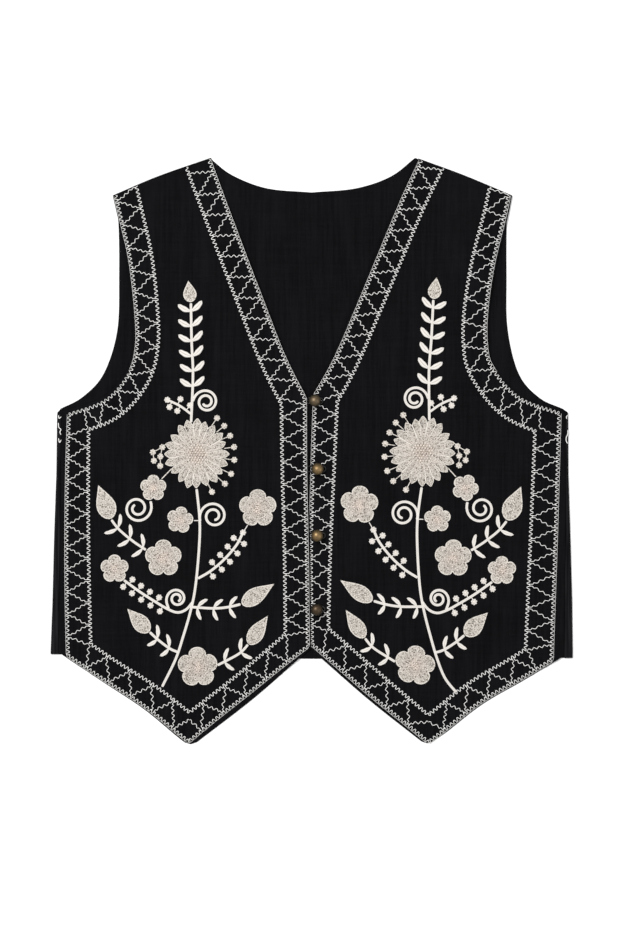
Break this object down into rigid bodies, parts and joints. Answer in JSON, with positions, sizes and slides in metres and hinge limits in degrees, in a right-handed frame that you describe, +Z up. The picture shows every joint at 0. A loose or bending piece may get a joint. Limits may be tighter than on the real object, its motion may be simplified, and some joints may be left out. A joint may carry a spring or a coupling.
{
  "type": "embroidered folk vest",
  "caption": "Sleeveless black cloth vest laid flat, with pointed fronts, ivory raised floral embroidery and ball buttons in cord loops.",
  "frame": {"origin": "on the surface that the vest lies on, under the middle of its bounding box", "axes": "+Y towards the neck, +X towards the front without loops (the right one as seen from above), +Z up out of the surface"},
  "size_m": [0.4809, 0.5384, 0.0137],
  "materials": {
    "black_cotton": "matt plain weave",
    "ivory_thread": "soft sheen, raised stitches",
    "antique_brass": "darkened, satin",
    "black_cord": "twisted cord"
  },
  "bodies": {
    "root": {"back": "black_cotton", "front_left": "black_cotton", "front_right": "black_cotton", "sprig_left": "ivory_thread", "stem_left": "ivory_thread", "curl_left": "ivory_thread", "upper_twig_left": "ivory_thread", "lower_twig_left": "ivory_thread", "daisy_left": "ivory_thread", "daisy_eye_left": "ivory_thread", "blossom_1_left": "ivory_thread", "blossom_2_left": "ivory_thread", "blossom_3_left": "ivory_thread", "blossom_4_left": "ivory_thread", "blossom_5_left": "ivory_thread", "blossom_6_left": "ivory_thread", "bud_1_left": "ivory_thread", "bud_2_left": "ivory_thread", "bud_3_left": "ivory_thread", "bud_4_left": "ivory_thread", "bud_5_left": "ivory_thread", "sprig_right": "ivory_thread", "stem_right": "ivory_thread", "curl_right": "ivory_thread", "upper_twig_right": "ivory_thread", "lower_twig_right": "ivory_thread", "daisy_right": "ivory_thread", "daisy_eye_right": "ivory_thread", "blossom_1_right": "ivory_thread", "blossom_2_right": "ivory_thread", "blossom_3_right": "ivory_thread", "blossom_4_right": "ivory_thread", "blossom_5_right": "ivory_thread", "blossom_6_right": "ivory_thread", "bud_1_right": "ivory_thread", "bud_2_right": "ivory_thread", "bud_3_right": "ivory_thread", "bud_4_right": "ivory_thread", "bud_5_right": "ivory_thread", "button_1": "antique_brass", "button_2": "antique_brass", "button_3": "antique_brass", "button_4": "antique_brass", "loop_1": "black_cord", "loop_2": "black_cord", "loop_3": "black_cord", "loop_4": "black_cord"}
  },
  "joints": []
}
